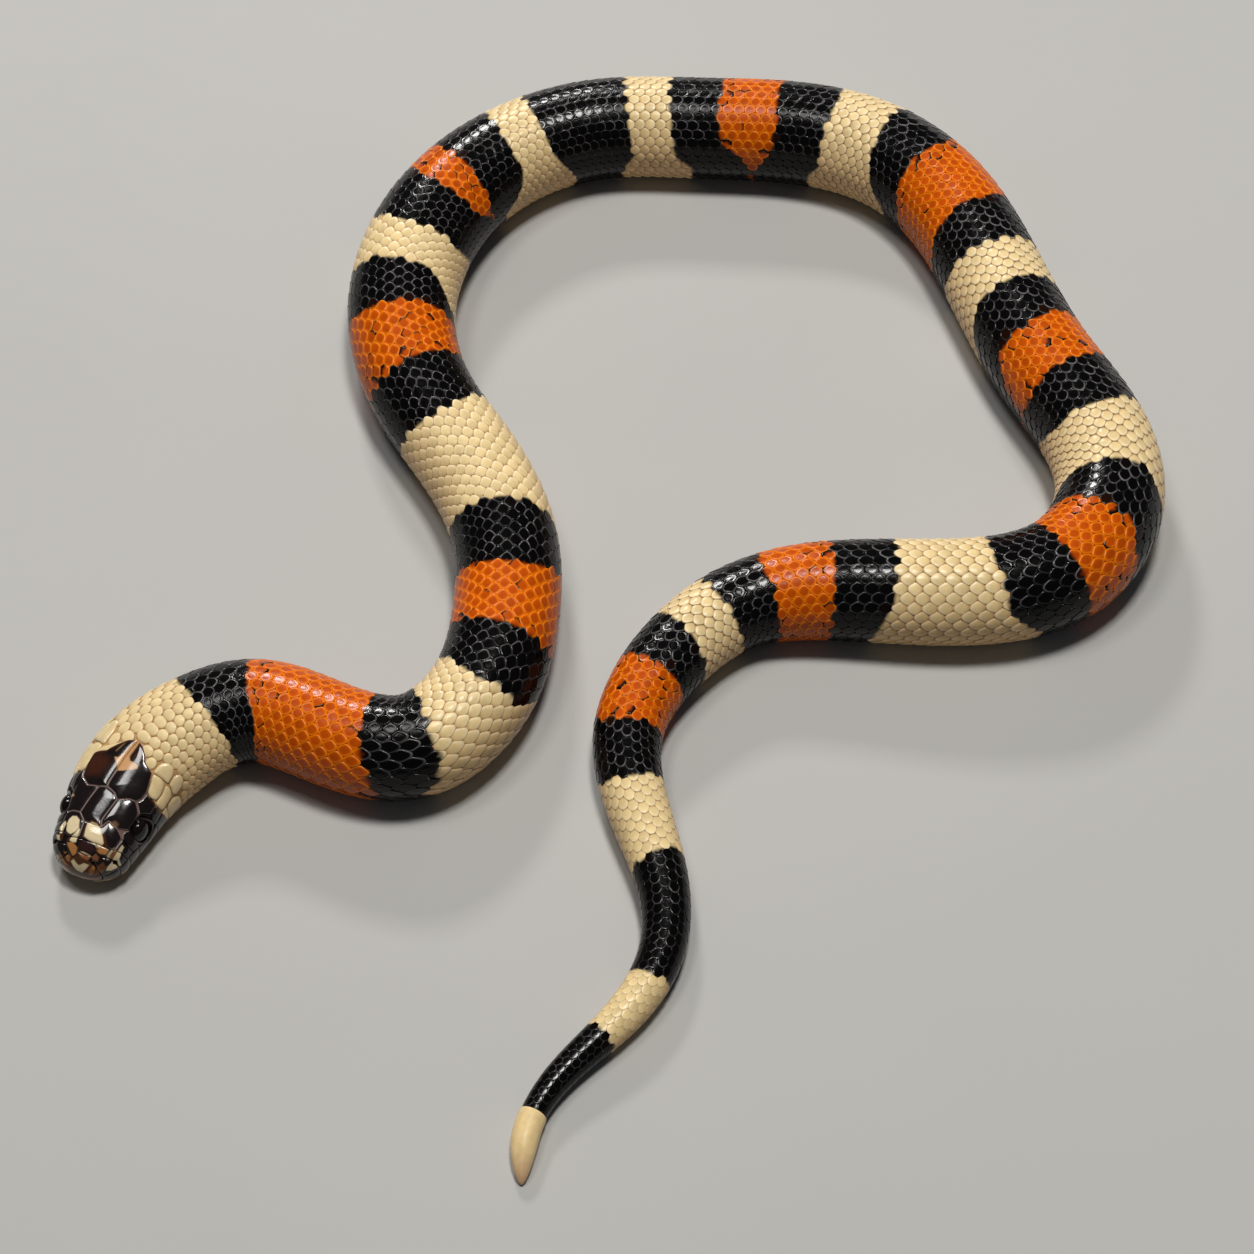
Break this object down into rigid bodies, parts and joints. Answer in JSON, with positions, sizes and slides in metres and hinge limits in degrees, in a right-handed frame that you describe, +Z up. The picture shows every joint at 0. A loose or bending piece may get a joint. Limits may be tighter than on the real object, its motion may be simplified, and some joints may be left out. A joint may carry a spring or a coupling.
{
  "type": "milk snake model",
  "caption": "Still, life-size model of a banded milk snake lying on the floor in loose bends, with head shields and belly scutes.",
  "frame": {"origin": "middle of the model's box at the floor the belly lies on", "axes": "+Z up; the head and the tail tip lie toward -Y, and the far bend of the body toward +Y"},
  "size_m": [0.1958, 0.2344, 0.0192],
  "materials": {
    "head_skin": "glossy head shields, dark brown with tan marks on the snout",
    "body_skin": "smooth glossy scales in bands of cream, black and orange",
    "eye_gloss": "clear wet gloss over a black eye"
  },
  "bodies": {
    "root": {"head": "head_skin", "jaw": "head_skin", "eye_left": "eye_gloss", "eye_right": "eye_gloss", "neck": "body_skin", "torso_1": "body_skin", "torso_2": "body_skin", "torso_3": "body_skin", "torso_4": "body_skin", "torso_5": "body_skin", "torso_6": "body_skin", "torso_7": "body_skin", "torso_8": "body_skin", "torso_9": "body_skin", "torso_10": "body_skin", "torso_11": "body_skin", "torso_12": "body_skin", "tail_base": "body_skin", "tail_middle": "body_skin", "tail_tip": "body_skin"}
  },
  "joints": []
}
